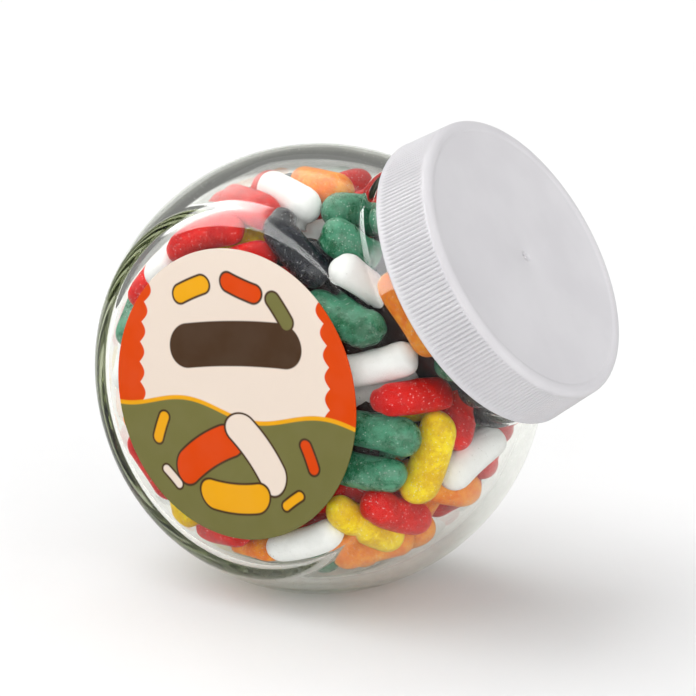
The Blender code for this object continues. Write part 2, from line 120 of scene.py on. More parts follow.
to_camera = direction(VIEW_AZIMUTH, VIEW_ELEVATION)
view_right = (-to_camera).cross(Vector((0.0, 0.0, 1.0))).normalized()
view_up = view_right.cross(-to_camera)
aim = (view_right * AIM_RIGHT + view_up * AIM_UP - to_camera).normalized()
camera_data = bpy.data.cameras.new("photo_camera")
camera_data.sensor_width = SENSOR
camera_data.lens = FOCAL_PIXELS / PHOTO_SIDE * SENSOR
camera_data.clip_start = 0.01
camera_data.clip_end = 60.0
camera = bpy.data.objects.new("photo_camera", camera_data)
camera.matrix_world = (
    Matrix.Translation(CENTRE + to_camera * VIEW_DISTANCE) @ aim.to_track_quat("-Z", "Y").to_matrix().to_4x4()
)
bpy.context.scene.collection.objects.link(camera)
bpy.context.scene.camera = camera
print("focal length in mm:", round(camera_data.lens, 1))

# %% [markdown]
# ## A way to write finishes
# A finish is a network of nodes, and wiring it by hand hides the idea. Here a socket is wrapped
# in a small class whose + - * / and ** add Math nodes, so a pattern reads as a formula. One method
# makes every other node: it takes the node's type, its settings and what goes into its sockets.

# %% Shader maths as expressions
MOST_OF_NOISE = (0.35, 0.65)


class Field:
    """A number that changes over a surface. Arithmetic on it adds Math nodes."""

    def __init__(self, finish, socket):
        self.finish = finish
        self.socket = socket

    def maths(self, operation, *others):
        return self.finish.node("Math", {"operation": operation}, dict(enumerate((self, *others))))

    def reflected(self, operation, first):
        return self.finish.node("Math", {"operation": operation}, {0: first, 1: self})

    def __add__(self, other):
        return self.maths("ADD", other)

    __radd__ = __add__

    def __mul__(self, other):
        return self.maths("MULTIPLY", other)

    __rmul__ = __mul__

    def __sub__(self, other):
        return self.maths("SUBTRACT", other)

    def __rsub__(self, other):
        return self.reflected("SUBTRACT", other)

    def __truediv__(self, other):
        return self.maths("DIVIDE", other)

    def __rtruediv__(self, other):
        return self.reflected("DIVIDE", other)

    def __pow__(self, other):
        return self.maths("POWER", other)

    def __rpow__(self, other):
        return self.reflected("POWER", other)


class Finish:
    """A material under construction, whose nodes all come from one method."""

    def __init__(self, name):
        self.material = bpy.data.materials.new(name)
        self.material.use_nodes = True
        self.tree = self.material.node_tree
        self.tree.nodes.clear()
        self.output = self.tree.nodes.new("ShaderNodeOutputMaterial")

    def node(self, kind, settings=None, inputs=None, output=0):
        """A node of this kind: its settings first, then its sockets, by name or number."""
        made = self.tree.nodes.new(f"ShaderNode{kind}")
        for name, value in (settings or {}).items():
            setattr(made, name, value)
        for key, value in (inputs or {}).items():
            if isinstance(value, Field):
                self.tree.links.new(value.socket, made.inputs[key])
            else:
                made.inputs[key].default_value = value
        return Field(self, made.outputs[output])

    def place(self):
        """The object's own coordinates, in metres."""
        return self.node("TexCoord", output="Object")

    def parts(self, vector):
        """The three numbers of a vector."""
        split = self.node("SeparateXYZ", {}, {0: vector}).socket.node
        return [Field(self, socket) for socket in split.outputs]

    def apart(self, vector, spot):
        """Distance from a fixed spot, in metres."""
        return self.node("VectorMath", {"operation": "DISTANCE"}, {0: vector, 1: spot}, output=1)

    def noise(self, vector, size, detail=2.0, roughness=0.5):
        """Noise from 0 to 1 whose blobs are about this many metres across."""
        settings = {"noise_dimensions": "3D"}
        inputs = {"Vector": vector, "Scale": 1.0 / size, "Detail": detail, "Roughness": roughness}
        return self.node("TexNoise", settings, inputs)

    def ramp(self, value, low, high, to_low=0.0, to_high=1.0):
        """Rises smoothly from to_low to to_high while the value goes from low to high."""
        settings = {"interpolation_type": "SMOOTHSTEP"}
        return self.node("MapRange", settings, {0: value, 1: low, 2: high, 3: to_low, 4: to_high})

    def mix(self, factor, first, second):
        """Colour that turns from the first into the second as the factor goes from 0 to 1."""
        inputs = {0: factor, 6: self.colour(first), 7: self.colour(second)}
        return self.node("Mix", {"data_type": "RGBA"}, inputs, output=2)

    def colour(self, value):
        return value if isinstance(value, Field) else (*value, 1.0)

    def bump(self, height, distance, strength=1.0):
        return self.node("Bump", {}, {"Height": height, "Distance": distance, "Strength": strength})

    def principled(self, colour, roughness, **others):
        """The Principled shader. Other sockets are named with _ for each space."""
        inputs = {name.replace("_", " "): value for name, value in others.items()}
        inputs = {"Base Color": self.colour(colour), "Roughness": roughness, **inputs}
        return self.node("BsdfPrincipled", {}, inputs)

    def finished(self, shader):
        self.tree.links.new(shader.socket, self.output.inputs["Surface"])
        return self.material


print("finishes can be written as formulas")

# %% [markdown]
# ## Turned pieces
# A jar is round in almost every part, so most meshes here are rings of points round an axis. A
# Screw modifier would make them too, but the glass and the cap need a radius that also changes
# round the ring, for the panels and the ribs. So one helper takes rings of points and joins each
# ring to the next with quads.

# %% Rings to mesh


def ring_mesh(name, rings, close_start=True, close_end=True):
    """A mesh from rings of equally many points, outside top first, closed by a fan at each end."""
    rings = [np.asarray(ring, dtype=float) for ring in rings]
    around = len(rings[0])
    points = np.concatenate(rings)
    step = np.arange(around)
    after = np.roll(step, -1)
    faces = []
    for i in range(len(rings) - 1):
        top, bottom = i * around, (i + 1) * around
        quads = np.stack([top + step, bottom + step, bottom + after, top + after], axis=1)
        faces += quads.tolist()
    ends = [(close_start, 0, False), (close_end, (len(rings) - 1) * around, True)]
    for closed, start, turned_over in ends:
        if closed:
            middle = len(points)
            points = np.vstack([points, points[start : start + around].mean(axis=0)])
            fan = np.stack([start + step, start + after, np.full(around, middle)], axis=1)
            faces += (fan[:, ::-1] if turned_over else fan).tolist()
    mesh = bpy.data.meshes.new(name)
    mesh.from_pydata(points.tolist(), [], faces)
    mesh.shade_smooth()
    mesh.update()
    return mesh


def circle_ring(radius, height, angles):
    return np.stack([radius * np.cos(angles), radius * np.sin(angles), np.full(len(angles), height)], axis=1)


def arc(centre, radius, start_deg, end_deg, count):
    """Points of an arc, both ends included, as (radius, height) pairs."""
    angles = np.radians(np.linspace(start_deg, end_deg, count))
    return [(centre[0] + radius * math.cos(a), centre[1] + radius * math.sin(a)) for a in angles]


def new_piece(name, mesh, matrix, material, node):
    """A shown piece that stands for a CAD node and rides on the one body.

    Like a CAD node it sits at the origin, with its place in its mesh.
    """
    mesh.transform(matrix)
    mesh.update()
    piece = bpy.data.objects.new(name, mesh)
    mesh.materials.append(material)
    bpy.context.scene.collection.objects.link(piece)
    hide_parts(node)
    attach(piece, "root")
    print(f"{name}: {len(mesh.vertices)} points, {len(mesh.polygons)} faces")
    return piece


# %% [markdown]
# ## The shape of the glass
# Seen from its middle, every part of the jar lies in one direction only: the ball, the panels,
# the foot and even the neck. So a single number for each direction, how far away the surface is,
# describes it all. Booleans would leave creases that glass shows up at once. With this rule the
# ball, the panels and the neck are joined with a smooth largest-of or smallest-of instead, as the
# mould and the fire leave them.

# %% How far the glass lies in each direction
FOOT_STEP = 0.0003
NECK_BLEND = 0.0013
BORE_BLEND = 0.0020
FLOOR_BLEND = 0.0016
FOOT_BLEND = 0.0005
FOOT_ROOT_Z = 0.0022


def panelled_ball(cosine, inset):
    """Distance to the ball with flat panels, from the cosine of the angle to the panels' axis."""
    corner_r = (BALL_R**2 - PANEL_Y**2 - PANEL_FLAT_R**2) / (2 * (BALL_R - PANEL_Y))
    corner_x, corner_y = PANEL_FLAT_R, PANEL_Y - corner_r
    rounded = max(corner_r - inset, 0.0002)
    cosine = np.abs(cosine)
    sine = np.sqrt(np.maximum(1.0 - cosine**2, 0.0))
    to_panel = (PANEL_Y - inset) / np.maximum(cosine, 1e-6)
    along = corner_x * sine + corner_y * cosine
    off = corner_x**2 + corner_y**2 - rounded**2
    to_corner = along + np.sqrt(np.maximum(along**2 - off, 0.0))
    on_panel = to_panel * sine <= corner_x
    meet = corner_y / math.hypot(corner_x, corner_y)
    return np.where(on_panel, to_panel, np.where(cosine < meet, BALL_R - inset, to_corner))


def smooth_larger(a, b, blend):
    h = np.maximum(blend - np.abs(a - b), 0.0) / blend
    return np.maximum(a, b) + h * h * blend / 4


def smooth_smaller(a, b, blend):
    return -smooth_larger(-a, -b, blend)


def turned(theta, angles):
    """Directions at these angles from an axis and round it, one in each row."""
    flat = np.sin(theta)
    return np.stack([flat * np.cos(angles), flat * np.sin(angles), np.cos(theta) + 0.0 * angles], axis=1)


def world_ways(theta, angles):
    """The same about the cap's axis, as the world's x, y and z."""
    return np.array(CAP_TILT.to_3x3()) @ turned(theta, angles).T


def joined_neck(theta, body, radius, blend):
    """The body's distance with a round neck of this radius on the cap's side."""
    neck = radius / np.maximum(np.sin(theta), 0.05)
    return np.where(np.cos(theta) > 0.0, smooth_larger(body, neck, blend), body)


def outer_distance(theta, angles):
    way = world_ways(theta, angles)
    body = joined_neck(theta, panelled_ball(way[1], 0.0), NECK_R, NECK_BLEND)
    down = np.maximum(-way[2], 1e-6)
    flat = np.sqrt(np.maximum(1.0 - way[2] ** 2, 0.0))
    step_in = (CENTRE_Z - FOOT_ROOT_Z) / down
    on_foot = flat * CENTRE_Z / down < FOOT_R + 2 * FOOT_STEP
    proud = np.where(on_foot & (step_in < BALL_R), body + FOOT_STEP, body)
    return smooth_smaller(proud, CENTRE_Z / down, FOOT_BLEND)


def inner_distance(theta, angles):
    way = world_ways(theta, angles)
    hollow = joined_neck(theta, panelled_ball(way[1], WALL), BORE_R, BORE_BLEND)
    floor = (CENTRE_Z - FLOOR_THICKNESS) / np.maximum(-way[2], 1e-6)
    return smooth_smaller(hollow, floor, FLOOR_BLEND)


straight_on = outer_distance(math.radians(90.0), np.array([0.0, math.pi / 2]))
print("glass lies", np.round(1000 * straight_on, 2), "mm below the middle and at the panel")

# %% [markdown]
# ## The glass
# The outside runs from the lip down the neck and over the ball to the side away from the cap, and
# the inside runs back the same way. The lip is a rounded edge, fire-polished on the real jar. The
# rings are close together at the root of the neck, where the surface turns fast. The panels' round
# edges turn fastest of all, and they cross the rings at every slant. Coarse faces would show there
# as a saw edge in the glass, so those faces are cut finer, and each new point goes back on to the
# surface that the rule gives. More rings everywhere would do it too, at several times the cost.
#
# Blender guesses which way a smooth surface faces from the faces round each point. Light that
# Light that bounces many times inside the wall shows the smallest error of that guess as a braid in
# the rim, so each point whose guess lies within a few degrees of the rule is told which way it faces
# by the rule itself.

# %% Glass mesh
GLASS_SIDES = 240
BALL_RINGS = 132
ROOT_RINGS = 34
NECK_RINGS = 8
LIP_R = 0.0009
LIP_POINTS = 6
ROOT_FROM_DEG = 32.5
ROOT_TO_DEG = 40.0
POLE_DEG = 179.6
CORNER_FROM_DEG = 45.0
CORNER_TO_DEG = 57.0
CORNER_CUTS = 2
SLOPE_STEP = 0.0002
FACING_LIMIT_DEG = 3.0

around = np.linspace(0.0, 2 * math.pi, GLASS_SIDES, endpoint=False)
lip_top = CAP_TOP - CAP_TOP_THICKNESS - GAP


def glass_rings(radius, distance):
    """Rings from under the lip to the far side of the ball, by the surface's own distance."""
    start = math.degrees(math.atan2(radius, lip_top - LIP_R))
    spans = [
        np.linspace(start, ROOT_FROM_DEG, NECK_RINGS, endpoint=False),
        np.linspace(ROOT_FROM_DEG, ROOT_TO_DEG, ROOT_RINGS, endpoint=False),
        np.linspace(ROOT_TO_DEG, POLE_DEG, BALL_RINGS),
    ]
    thetas = np.radians(np.concatenate(spans))
    return [turned(theta, around) * distance(theta, around)[:, None] for theta in thetas]


def dot(a, b):
    return a[:, 0] * b[:, 0] + a[:, 1] * b[:, 1] + a[:, 2] * b[:, 2]


def lengths(rows):
    return np.sqrt(dot(rows, rows))


def faced_way(theta, angles, distance):
    """Which way the surface faces at these angles, from the slopes of its own distance."""
    ways = []
    for turn, swing in ((SLOPE_STEP, 0.0), (0.0, SLOPE_STEP)):
        ends = []
        for side in (-1.0, 1.0):
            at = theta + side * turn, angles + side * swing
            ends.append(turned(*at) * distance(*at)[:, None])
        ways.append(ends[1] - ends[0])
    way = np.cross(*ways)
    return way / np.maximum(lengths(way), 1e-18)[:, None]


def finer_corners(mesh):
    """The panels' round edges with finer faces, and which of the mesh's points lie inside."""
    form = bmesh.new()
    form.from_mesh(mesh)
    to_world = CAP_TILT.to_3x3()
    off_axis = {vert: (to_world @ vert.co).angle(Vector((0.0, 1.0, 0.0))) for vert in form.verts}
    low, high = math.radians(CORNER_FROM_DEG), math.radians(CORNER_TO_DEG)
    turning = {vert for vert, angle in off_axis.items() if low < min(angle, math.pi - angle) < high}
    faces = [face for face in form.faces if turning.issuperset(face.verts)]
    edges = list({edge for face in faces for edge in face.edges})
    bmesh.ops.subdivide_edges(form, edges=edges, cuts=CORNER_CUTS, use_grid_fill=True)
    form.to_mesh(mesh)
    form.free()
    points = np.array([vert.co for vert in mesh.vertices])
    length = lengths(points)
    theta, angles = np.arccos(points[:, 2] / length), np.arctan2(points[:, 1], points[:, 0])
    inner, outer = inner_distance(theta, angles), outer_distance(theta, angles)
    inside = length < (inner + outer) / 2
    cosine = np.abs(world_ways(theta, angles)[1])
    near = (cosine < math.cos(low)) & (cosine > math.cos(high))
    length_now = np.where(near, np.where(inside, inner, outer), length)
    points *= (length_now / length)[:, None]
    mesh.vertices.foreach_set("co", points.ravel())
    mesh.shade_smooth()
    mesh.update()
    faces_in = -faced_way(theta, angles, inner_distance)
    exact = np.where(inside[:, None], faces_in, faced_way(theta, angles, outer_distance))
    drawn = np.array([vert.normal for vert in mesh.vertices])
    close = dot(exact, drawn) > math.cos(math.radians(FACING_LIMIT_DEG))
    mesh.normals_split_custom_set_from_vertices(np.where(close[:, None], exact, 0.0).tolist())
    print("points that face as the rule says:", int(close.sum()), "of", len(points))
    return inside


inner_lip = arc((BORE_R + LIP_R / 2, lip_top - LIP_R), LIP_R / 2, 180.0, 90.0, LIP_POINTS)
outer_lip = arc((NECK_R - LIP_R, lip_top - LIP_R), LIP_R, 90.0, 0.0, LIP_POINTS)
lip = [circle_ring(r, min(z, lip_top), around) for r, z in inner_lip[1:] + outer_lip[:-1]]
inside = glass_rings(BORE_R, inner_distance)[::-1]
outside = glass_rings(NECK_R, outer_distance)
glass_mesh = ring_mesh("jar_glass", inside + lip + outside)
print("glass faces before:", len(glass_mesh.polygons))
on_inside = finer_corners(glass_mesh)
print("and with finer corners:", len(glass_mesh.polygons))

# %% [markdown]
# ## Clear glass
# Soda glass is almost clear, with an olive tint that only shows where light runs a long way
# through it, as at the rims. The Principled shader's transmission bends light as glass does, and
# an absorbing volume adds the tint by the length of the way. Lamps would leave the inside dark,
# because a bent path seldom finds a small lamp, so for shadow rays the glass turns into a plain
# tinted sheet. A faint wide ripple makes the reflections wander as they do on moulded glass.
#
# Loose sugar clings to the inner face as fine white dust. The dust could be thousands of tiny
# meshes, but each grain is thinner than a hair, so it is a part of the finish: small cells of a
# Voronoi texture where the glass gives way to sugar. An attribute marks the inner face for it. A
# second material would be simpler, but then the light would never leave the first one's volume.

# %% Glass finish
GLASS_TINT = (0.995, 0.996, 0.990)
GLASS_DEPTH_TINT = (0.60, 0.64, 0.44)
GLASS_DEPTH_DENSITY = 30.0
GLASS_SHINE = (0.20, 0.20, 0.20)
SHADOW_TINT = (0.995, 0.997, 0.995)
RIPPLE_SIZE = 0.012
RIPPLE_HEIGHT = 0.00010
INNER_FACE = "inner_face"
DUST_CELL = 0.0007
DUST_R = 0.13
DUST_SHARE = 0.4
DUST_PATCH = 0.011
DUST_PATCH_EDGES = (0.42, 0.62)
DUST_THIN_THICK = (0.12, 0.5)
SUGAR_WHITE = (0.88, 0.87, 0.86)


def grains(finish, place, cell, radius, share):
    """1 on small round grains, one in some of the cells of this size, and 0 between them."""
    inputs = {"Vector": place, "Scale": 1.0 / cell, "Randomness": 1.0}
    near = finish.node("TexVoronoi", {"feature": "F1"}, inputs)
    drawn = finish.node("TexVoronoi", {"feature": "F1"}, inputs, output=1)
    lot = finish.parts(drawn)[0]
    round_spot = finish.ramp(near, radius * 0.7, radius * 1.3, 1.0, 0.0)
    return round_spot * finish.ramp(lot, share - 0.02, share, 1.0, 0.0)


def clear_glass():
    finish = Finish("clear_glass")
    place = finish.place()
    ripple = finish.noise(place, RIPPLE_SIZE, 1.0)
    ripples = finish.bump(ripple, RIPPLE_HEIGHT, 0.35)
    shine = {"IOR": 1.5, "Specular_Tint": finish.colour(GLASS_SHINE)}
    glass = finish.principled(GLASS_TINT, 0.0, Transmission_Weight=1.0, Normal=ripples, **shine)
    inner = finish.node("Attribute", {"attribute_name": INNER_FACE}, output="Fac")
    patch = finish.ramp(finish.noise(place, DUST_PATCH, 2.0), *DUST_PATCH_EDGES, *DUST_THIN_THICK)
    dust = grains(finish, place, DUST_CELL, DUST_R, DUST_SHARE) * patch * inner
    sugar = finish.principled(SUGAR_WHITE, 0.6)
    glass = finish.node("MixShader", {}, {0: dust, 1: glass, 2: sugar})
    sheet = finish.node("BsdfTransparent", {}, {"Color": finish.colour(SHADOW_TINT)})
    for_lamps = finish.node("LightPath", output="Is Shadow Ray")
    depth = {"Color": finish.colour(GLASS_DEPTH_TINT), "Density": GLASS_DEPTH_DENSITY}
    tint = finish.node("VolumeAbsorption", {}, depth)
    finish.tree.links.new(tint.socket, finish.output.inputs["Volume"])
    return finish.finished(finish.node("MixShader", {}, {0: for_lamps, 1: glass, 2: sheet}))


inner_face = glass_mesh.attributes.new(INNER_FACE, "FLOAT", "POINT")
inner_face.data.foreach_set("value", on_inside.astype(float))
new_piece("jar_glass", glass_mesh, CAP_FRAME, clear_glass(), "glass_jar")

# %% [markdown]
# ## The screw cap
# The cap is moulded in white plastic. Fine ribs run down its skirt for grip, a smooth band and a
# rounded shoulder lie above them, and the top is sunk a little inside a thin bead. In its middle is
# the small crater where the plastic came into the mould. The ribs could be a bump in the finish,
# but they catch the light at the edge of the cap, so each one is real: the ring's radius falls
# back between ribs.

# %% Cap mesh
RIBS = 214
POINTS_A_RIB = 6
RIB_DEPTH = 0.00060
RIB_SHAPE = (1.0, 0.97, 0.70, 0.0, 0.70, 0.97)
RIB_LOW = 0.0010
RIB_HIGH = 0.0015
RIB_END = 0.0007
SKIRT_RINGS = 26
CAP_SHOULDER_R = 0.0012
CAP_BEAD_WIDTH = 0.0007
SHOULDER_POINTS = 9
EDGE_POINTS = 4
CAP_RECESS = 0.0004
GATE_R = 0.0012
GATE_FLOOR_R = 0.0007
GATE_NUB_R = 0.0003
GATE_DEPTH = 0.0007
EDGE_R = 0.00025

cap_angles = np.linspace(0.0, 2 * math.pi, RIBS * POINTS_A_RIB, endpoint=False)
rib_round = np.tile(RIB_SHAPE, RIBS)
skirt_top = CAP_TOP - CAP_SHOULDER_R
rib_heights = (CAP_MOUTH + RIB_LOW, CAP_TOP - RIB_HIGH)


def skirt_ring(height):
    """The ribbed skirt at this height, plain near the mouth and under the shoulder."""
    share = (skirt_top - height) / (skirt_top - CAP_MOUTH)
    radius = CAP_TOP_R + (CAP_MOUTH_R - CAP_TOP_R) * share
    inside = min(height - rib_heights[0], rib_heights[1] - height) / RIB_END
    depth = math.sqrt(max(0.0, 1.0 - (1.0 - min(max(inside, 0.0), 1.0)) ** 2)) * RIB_DEPTH
    return circle_ring(1.0, height, cap_angles) * np.stack(
        [radius - depth * (1.0 - rib_round)] * 2 + [np.ones(len(cap_angles))], axis=1
    )


def cap_rings():
    """Rings from the gate mark outwards, over the shoulder, down the skirt and up the inside."""
    recess = CAP_TOP - CAP_RECESS
    under = CAP_TOP - CAP_TOP_THICKNESS
    bead_in = CAP_TOP_R - CAP_SHOULDER_R - CAP_BEAD_WIDTH
    shoulder = arc((CAP_TOP_R - CAP_SHOULDER_R, skirt_top), CAP_SHOULDER_R, 90.0, 4.0, SHOULDER_POINTS)
    top = [
        (GATE_NUB_R / 2, recess - GATE_DEPTH / 4),
        (GATE_NUB_R, recess - GATE_DEPTH / 2),
        (GATE_NUB_R * 1.5, recess - GATE_DEPTH),
        (GATE_FLOOR_R, recess - GATE_DEPTH),
        (GATE_FLOOR_R + EDGE_R, recess - GATE_DEPTH * 0.7),
        (GATE_R - EDGE_R / 2, recess - EDGE_R / 4),
        (GATE_R + EDGE_R / 2, recess),
        (bead_in * 0.5, recess),
        (bead_in - 2 * CAP_RECESS, recess),
        (bead_in - CAP_RECESS, recess + CAP_RECESS * 0.3),
        (bead_in - CAP_RECESS / 2, CAP_TOP - CAP_RECESS * 0.2),
        (bead_in, CAP_TOP),
        *shoulder,
    ]
    inner_mouth = CAP_MOUTH_R - CAP_WALL
    inner_top = CAP_TOP_R - CAP_WALL
    mouth = [
        *arc((CAP_MOUTH_R - EDGE_R, CAP_MOUTH + EDGE_R), EDGE_R, 0.0, -90.0, EDGE_POINTS),
        *arc((inner_mouth + EDGE_R, CAP_MOUTH + EDGE_R), EDGE_R, -90.0, -180.0, EDGE_POINTS),
        (inner_top + EDGE_R, under - 2 * EDGE_R),
        (inner_top, under - EDGE_R),
        (inner_top - EDGE_R, under),
        (GATE_R, under),
    ]
    heights = np.linspace(skirt_top, CAP_MOUTH + 2 * EDGE_R, SKIRT_RINGS)
    rings = [circle_ring(radius, height, cap_angles) for radius, height in top]
    rings += [skirt_ring(height) for height in heights[1:]]
    return rings + [circle_ring(radius, height, cap_angles) for radius, height in mouth]


cap_mesh = ring_mesh("screw_cap", cap_rings())
print("ribs:", RIBS, "a pitch of", round(2000 * math.pi * CAP_MOUTH_R / RIBS, 2), "mm")

# %% [markdown]
# ## Moulded white plastic
# The plastic is a cool white with a satin skin. The mould leaves it very slightly uneven, and
# handling polishes it here and there, so the roughness drifts and a fine grain breaks up the
# shine. One faint pin mark lies below the middle of the top.

# %% Cap finish
CAP_WHITE = (0.585, 0.575, 0.592)
CAP_WHITE_THICK = (0.560, 0.549, 0.568)
CAP_CLOUD_SIZE = 0.014
CAP_GRAIN_SIZE = 0.00035
PIN_MARK = (0.0138, 0.0061)
PIN_MARK_R = 0.0006


def white_plastic():
    finish = Finish("white_plastic")
    place = finish.place()
    cloud = finish.noise(place, CAP_CLOUD_SIZE, 3.0)
    grain = finish.noise(place, CAP_GRAIN_SIZE, 2.0)
    mark_place = CAP_FRAME @ Vector((*PIN_MARK, CAP_TOP - CAP_RECESS))
    mark = finish.ramp(finish.apart(place, mark_place), PIN_MARK_R * 0.4, PIN_MARK_R, 1.0, 0.0)
    height = grain * 0.25 + cloud * 2.0 - mark * 4.0
    colour = finish.mix(finish.ramp(cloud, *MOST_OF_NOISE), CAP_WHITE, CAP_WHITE_THICK)
    skin = {"IOR": 1.49, "Specular_IOR_Level": 0.10, "Normal": finish.bump(height, 0.00003, 0.35)}
    return finish.finished(finish.principled(colour, cloud * 0.12 + 0.36, **skin))


new_piece("screw_cap", cap_mesh, CAP_FRAME, white_plastic(), "cap")

# %% [markdown]
# ## The paper label
# A round sticker lies flat on the front panel. A flat circle would do from the front, but from the
# side the paper's thickness shows, so its mesh is a thin disc with a softened edge.

# %% Label mesh
LABEL_SIDES = 256
LABEL_EDGE = 0.00008

label_angles = np.linspace(0.0, 2 * math.pi, LABEL_SIDES, endpoint=False)
label_back = PANEL_Y + GAP
label_front = label_back + LABEL_THICKNESS
label_outline = [
    (LABEL_R * 0.5, label_front),
    (LABEL_R - LABEL_EDGE * 2, label_front),
    (LABEL_R - LABEL_EDGE / 2, label_front - LABEL_EDGE / 3),
    (LABEL_R, label_front - LABEL_EDGE),
    (LABEL_R, label_back + LABEL_EDGE / 2),
    (LABEL_R - LABEL_EDGE, label_back),
]
label_mesh = ring_mesh("paper_label", [circle_ring(r, z, label_angles) for r, z in label_outline])

# %% [markdown]
# ## The print
# The print is a generic design of jelly beans in cream, olive, orange, ochre and dark brown, with
# scalloped sides and a wavy ground. An image would do, but a few formulas draw it sharp at any
# size: each bean is all that lies within a radius of a short bent line. Across and up are
# measured from the middle in radii of the label.

# %% Label print
CREAM = (0.690, 0.590, 0.505)
OLIVE = (0.135, 0.128, 0.040)
ORANGE = (0.560, 0.050, 0.002)
OCHRE = (0.680, 0.320, 0.008)
BROWN = (0.044, 0.022, 0.010)
INK_EDGE = 0.006
OUTLINE = 0.016
SIDE_WIDE, SIDE_HIGH, SIDE_UP = 0.80, 1.35, 0.1
SCALLOPS, SCALLOP_DEPTH = 22.0, 0.05
GROUND_WAVES, GROUND_SHIFT, GROUND_DEPTH = 5.5, 0.6, 0.05
GROUND_DOWN = 0.10
GROUND_LINE = 0.03
FIBRE_SIZE = 0.0004
WEAR_SIZE = 0.006
WEAR = 0.012
# Each printed bean: middle across and up, turn in degrees, half length, radius, bend and ink.
PRINTED_BEANS = [
    (0.02, 0.36, 6.0, 0.40, 0.155, 0.10, BROWN),
    (-0.34, 0.70, 24.0, 0.10, 0.075, 0.30, OCHRE),
    (0.08, 0.74, -16.0, 0.11, 0.075, -0.30, ORANGE),
    (0.40, 0.62, -52.0, 0.09, 0.065, 0.30, OLIVE),
    (-0.22, -0.42, 34.0, 0.20, 0.130, 0.45, ORANGE),
    (0.22, -0.36, -48.0, 0.20, 0.130, 0.45, CREAM),
    (0.02, -0.72, 4.0, 0.19, 0.115, -0.45, OCHRE),
    (-0.62, -0.30, 70.0, 0.08, 0.055, 0.40, OCHRE),
    (0.64, -0.34, -66.0, 0.08, 0.055, 0.40, ORANGE),
    (-0.52, -0.64, -40.0, 0.07, 0.045, 0.40, CREAM),
    (0.50, -0.66, 38.0, 0.07, 0.045, 0.40, OCHRE),
]


def bean_distance(finish, u, v, bean):
    """How far outside a printed bean each point lies, below 0 inside it."""
    across, up, turn_deg, half, radius, bend = bean[:6]
    cosine, sine = math.cos(math.radians(turn_deg)), math.sin(math.radians(turn_deg))
    along = (u - across) * cosine + (v - up) * sine
    aside = (v - up) * cosine - (u - across) * sine + along * along * bend
    past = along.maths("ABSOLUTE") - half
    past = past.maths("MAXIMUM", 0.0)
    return (past * past + aside * aside) ** 0.5 - radius


def paper_print():
    finish = Finish("label_paper")
    place = finish.place()
    x, y, z = finish.parts(place)
    u, v = x / LABEL_R, (z - CENTRE_Z) / LABEL_R
    fibre = finish.noise(place, FIBRE_SIZE, 3.0)
    cloud = finish.noise(place, WEAR_SIZE, 2.0)
    side = ((u / SIDE_WIDE) ** 2.0 + ((v - SIDE_UP) / SIDE_HIGH) ** 2.0) ** 0.5
    scallop = (v * SCALLOPS).maths("SINE").maths("ABSOLUTE") * SCALLOP_DEPTH
    colour = finish.mix(finish.ramp(side + scallop, 1.0 - INK_EDGE, 1.0 + INK_EDGE), CREAM, ORANGE)
    wave = v + (u * GROUND_WAVES + GROUND_SHIFT).maths("SINE") * GROUND_DEPTH + GROUND_DOWN
    colour = finish.mix(finish.ramp(wave, -INK_EDGE, INK_EDGE, 1.0, 0.0), colour, OCHRE)
    colour = finish.mix(finish.ramp(wave + GROUND_LINE, -INK_EDGE, INK_EDGE, 1.0, 0.0), colour, OLIVE)
    for bean in PRINTED_BEANS:
        outside = bean_distance(finish, u, v, bean)
        colour = finish.mix(finish.ramp(outside, -INK_EDGE, INK_EDGE, 1.0, 0.0), colour, BROWN)
        colour = finish.mix(finish.ramp(outside + OUTLINE, -INK_EDGE, INK_EDGE, 1.0, 0.0), colour, bean[6])
    worn = finish.mix(finish.ramp(cloud, 0.3, 0.7, 0.0, WEAR), colour, CREAM)
    skin = {"IOR": 1.45, "Specular_IOR_Level": 0.05, "Normal": finish.bump(fibre, 0.00001, 0.5)}
    return finish.finished(finish.principled(worn, fibre * 0.15 + 0.42, **skin))


new_piece("paper_label", label_mesh, PANEL_FRAME, paper_print(), "label")

# %% [markdown]
# ## Where the beans lie
# The beans fill the jar as if poured. Those that the photograph shows best are placed one by one,
# where they are seen against the glass. The others start at random places in two layers, and
# then all of them push each other apart and are pressed back inside the glass, step by step. A
# physics engine could drop them in, but then no bean would lie where the photograph has it. This
# is the rule that the imported heap was made by, with the same sizes and the same random draws, so
# each fine bean lies over its plain one. Colours are drawn too, and a few beans that came to rest
# in plain sight are given the colour that the photograph has there.

# %% Bean sizes and places
BEAN_R = 0.0039
BEAN_R_SPREAD = 0.00025
BEAN_HALF = 0.0052
BEAN_HALF_SPREAD = 0.0007
BEAN_CLEARANCE = 0.0005
FRONT_SPACING = 0.0086
FRONT_SINK = 0.0022
BACK_SPACING = 0.0098
BACK_SINK = 0.0080
FRONT_TRIES = 2600
BACK_TRIES = 1200
BEAN_LEVEL = 0.0385
SEED = 41
SETTLE_STEPS = 260
SETTLE_SHARE = 0.42
START_SIZE = 0.6
GROWN_BY = 0.6
WALL_PULL = 0.06
SEEN_MOBILITY = 0.2
SEEN_HOLD = 0.07
LET_GO_FROM = 0.6
SETTLE_DIGITS = 7
BEAN_STATIONS = (0.25, 0.5, 0.75, 0.0, 1.0)
NECK_BEANS_FROM = math.sqrt((BALL_R - WALL - BEAN_R) ** 2 - (BORE_R - BEAN_R) ** 2)
SEEN_AZIMUTH_DEG = 34.4
SEEN_ELEVATION_DEG = 12.0
SEEN_DISTANCE = 0.398
SEEN_STEP = 0.0002
SEEN_FACING = 0.35
